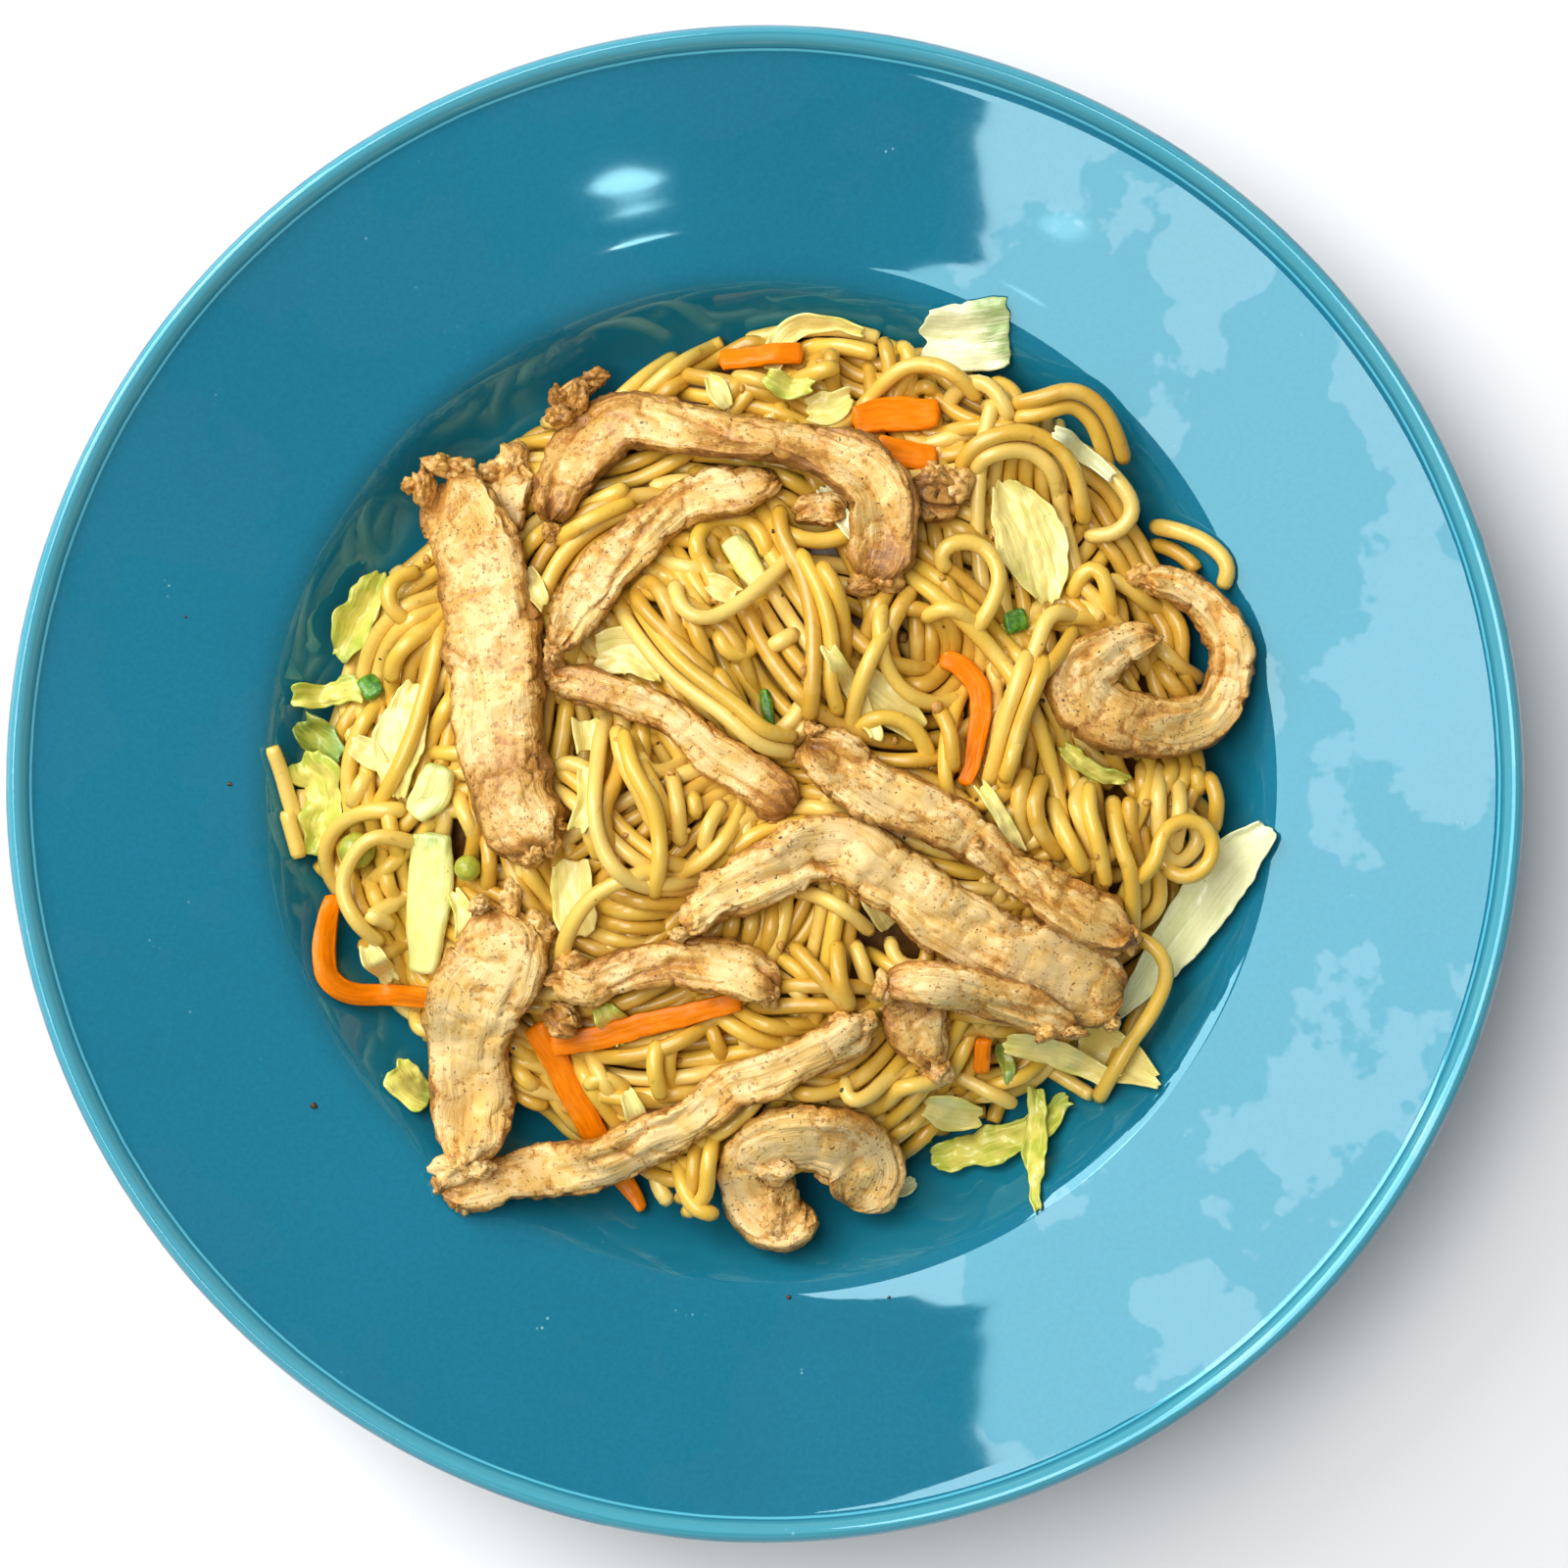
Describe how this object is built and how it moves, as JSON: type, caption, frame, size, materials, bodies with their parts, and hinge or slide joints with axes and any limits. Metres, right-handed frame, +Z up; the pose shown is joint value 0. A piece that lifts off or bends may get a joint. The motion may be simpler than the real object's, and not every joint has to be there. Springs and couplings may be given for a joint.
{
  "type": "plate of stir-fried noodles",
  "caption": "Stir-fried round noodles heaped in a wide-rimmed pasta plate, topped with browned chicken strips, cabbage, carrot and peas.",
  "frame": {"origin": "centre of the plate's foot ring, on the surface that it stands on", "axes": "+Z up, along the plate's axis; +X is the picture's right and +Y its top"},
  "size_m": [0.27, 0.27, 0.0488],
  "materials": {
    "glaze": "glossy teal-blue glaze, thinner and lighter along the lip",
    "noodle": "soft wheat noodle with a thin film of sauce and oil",
    "chicken": "pan-fried chicken meat, pale with browned edges and pepper specks",
    "carrot": "cooked carrot, moist orange",
    "cabbage": "wilted cabbage leaf, pale yellow-green and moist",
    "cabbage_stalk": "cabbage stalk, pale green to cream and moist",
    "scallion": "green onion, dark green and moist",
    "pea": "cooked pea, yellow-green and moist"
  },
  "bodies": {
    "root": {"cabbage_centre_right": "cabbage", "cabbage_chip_bottom": "cabbage", "cabbage_chip_mid": "cabbage", "cabbage_chip_top": "cabbage", "cabbage_chunk_left": "cabbage_stalk", "cabbage_curl_top": "cabbage", "cabbage_frill_lower": "cabbage", "cabbage_frill_upper": "cabbage", "cabbage_green_a": "cabbage", "cabbage_green_b": "cabbage", "cabbage_green_left": "cabbage", "cabbage_leaf_top_right": "cabbage", "cabbage_left_large": "cabbage", "cabbage_long_right": "cabbage", "cabbage_low_left": "cabbage", "cabbage_lower_right": "cabbage", "cabbage_mid": "cabbage", "cabbage_mid_lower": "cabbage", "cabbage_pale_right": "cabbage", "cabbage_shred_lower_right": "cabbage", "cabbage_stalk_centre": "cabbage_stalk", "cabbage_stalk_left": "cabbage_stalk", "cabbage_strip_left": "cabbage", "cabbage_under_curl": "cabbage", "carrot_arch_a": "carrot", "carrot_arch_b": "carrot", "carrot_left": "carrot", "carrot_lower_a": "carrot", "carrot_lower_b": "carrot", "carrot_right": "carrot", "carrot_small": "carrot", "carrot_top": "carrot", "chicken_arch_large": "chicken", "chicken_arch_top": "chicken", "chicken_bit_centre": "chicken", "chicken_bit_left": "chicken", "chicken_bit_lower": "chicken", "chicken_bit_right": "chicken", "chicken_curl": "chicken", "chicken_fork": "chicken", "chicken_fork_leg": "chicken", "chicken_knob_dark": "chicken", "chicken_knot": "chicken", "chicken_left_long": "chicken", "chicken_long_bottom": "chicken", "chicken_lower_left": "chicken", "chicken_ridge": "chicken", "chicken_slant": "chicken", "chicken_small_arch": "chicken", "chicken_thin": "chicken", "noodles": "noodle", "pea_left": "pea", "pea_stalk": "pea", "plate": "glaze", "scallion_centre": "scallion", "scallion_left": "scallion", "scallion_right": "scallion"}
  },
  "joints": []
}
